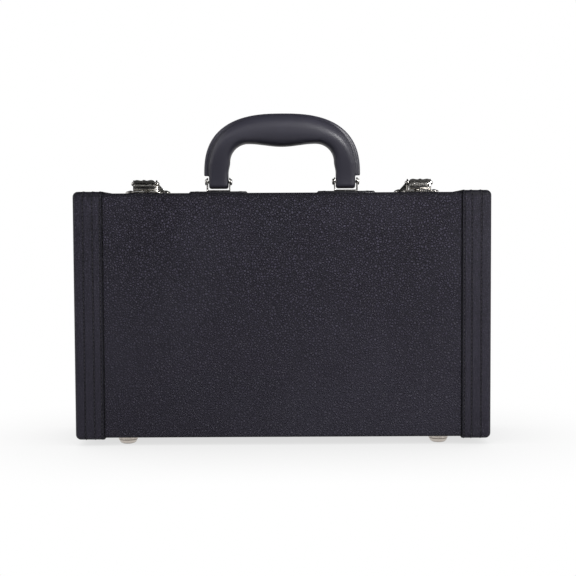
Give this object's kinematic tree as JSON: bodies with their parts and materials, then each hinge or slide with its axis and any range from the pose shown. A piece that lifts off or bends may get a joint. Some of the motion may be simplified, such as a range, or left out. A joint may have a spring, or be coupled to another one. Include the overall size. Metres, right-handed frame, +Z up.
{
  "type": "clarinet case",
  "caption": "Hard clarinet case with pebbled black leatherette, stitched end sleeves, drop handle, draw latches, hinged lid and a fitted plush interior.",
  "frame": {"origin": "on the floor under the middle of the standing case, between its feet", "axes": "+X along the case's length, +Y from the lid towards the base, +Z up to the handle"},
  "size_m": [0.352, 0.1, 0.2842],
  "materials": {
    "leatherette": "black pebble-grain leatherette, semi-matt",
    "sleeve_leather": "black pebble-grain leatherette with three rows of black stitching",
    "plywood": "bare birch plywood",
    "plush": "short-pile wine-red plush",
    "satin_nickel": "turned nickel-plated steel",
    "hinge_steel": "nickel-plated pressed steel",
    "handle_plastic": "black moulded plastic with a soft sheen",
    "black_metal": "black enamelled steel",
    "polished_nickel": "polished nickel plate"
  },
  "bodies": {
    "base": {"base_covering": "leatherette", "base_sleeve_left": "sleeve_leather", "base_sleeve_right": "sleeve_leather", "base_panel": "plywood", "base_rails": "plywood", "base_liner": "plush", "insert_border": "plush", "insert_long_rails": "plush", "insert_dividers": "plush", "insert_bell_rails": "plush", "insert_floor": "plush", "base_feet": "satin_nickel", "base_hinge_leaf_left": "hinge_steel", "base_hinge_leaf_right": "hinge_steel", "hinge_pins": "hinge_steel", "base_hinge_screws": "hinge_steel", "handle_plate_left": "black_metal", "handle_plate_right": "black_metal", "handle_bracket_left": "polished_nickel", "handle_bracket_right": "polished_nickel", "handle_pins": "polished_nickel", "handle_plate_rivets": "polished_nickel", "keeper_rivets": "polished_nickel", "keeper_left": "polished_nickel", "keeper_right": "polished_nickel"},
    "lid": {"lid_panel": "plywood", "lid_rails": "plywood", "lid_covering": "leatherette", "lid_feet": "satin_nickel", "lid_hinge_screws": "hinge_steel", "lid_sleeve_left": "sleeve_leather", "lid_sleeve_right": "sleeve_leather", "lid_hinge_leaf_left": "hinge_steel", "lid_hinge_leaf_right": "hinge_steel", "lid_liner": "plush", "lid_lining": "plush", "lid_cushion": "plush", "latch_plate_rivets": "polished_nickel", "latch_plate_left": "polished_nickel", "latch_plate_right": "polished_nickel", "latch_pivots_left": "polished_nickel", "latch_pivots_right": "polished_nickel"},
    "handle": {"handle_grip": "handle_plastic"},
    "lever_left": {"latch_lever_left": "polished_nickel"},
    "bail_left": {"latch_bail_left": "polished_nickel"},
    "lever_right": {"latch_lever_right": "polished_nickel"},
    "bail_right": {"latch_bail_right": "polished_nickel"}
  },
  "joints": [
    {"name": "lid_hinge", "type": "hinge", "parent": "base", "child": "lid", "pos_m": [0, -0.01, 0.004], "axis": [1, 0, 0], "range_deg": [0, 110]},
    {"name": "handle_hinge", "type": "hinge", "parent": "base", "child": "handle", "pos_m": [0, 0.004, 0.2242], "axis": [1, 0, 0], "range_deg": [-80, 80]},
    {"name": "latch_left", "type": "hinge", "parent": "lid", "child": "lever_left", "pos_m": [-0.118, -0.018, 0.2222], "axis": [-1, 0, 0], "range_deg": [0, 80]},
    {"name": "bail_swing_left", "type": "hinge", "parent": "lever_left", "child": "bail_left", "pos_m": [-0.118, -0.0215, 0.219], "axis": [-1, 0, 0], "range_deg": [-97, 1]},
    {"name": "latch_right", "type": "hinge", "parent": "lid", "child": "lever_right", "pos_m": [0.118, -0.018, 0.2222], "axis": [-1, 0, 0], "range_deg": [0, 80]},
    {"name": "bail_swing_right", "type": "hinge", "parent": "lever_right", "child": "bail_right", "pos_m": [0.118, -0.0215, 0.219], "axis": [-1, 0, 0], "range_deg": [-97, 1]}
  ],
  "couplings": [
    {"joint": "bail_swing_left", "follows": "latch_left", "ratio": -1.2},
    {"joint": "bail_swing_right", "follows": "latch_right", "ratio": -1.2}
  ]
}
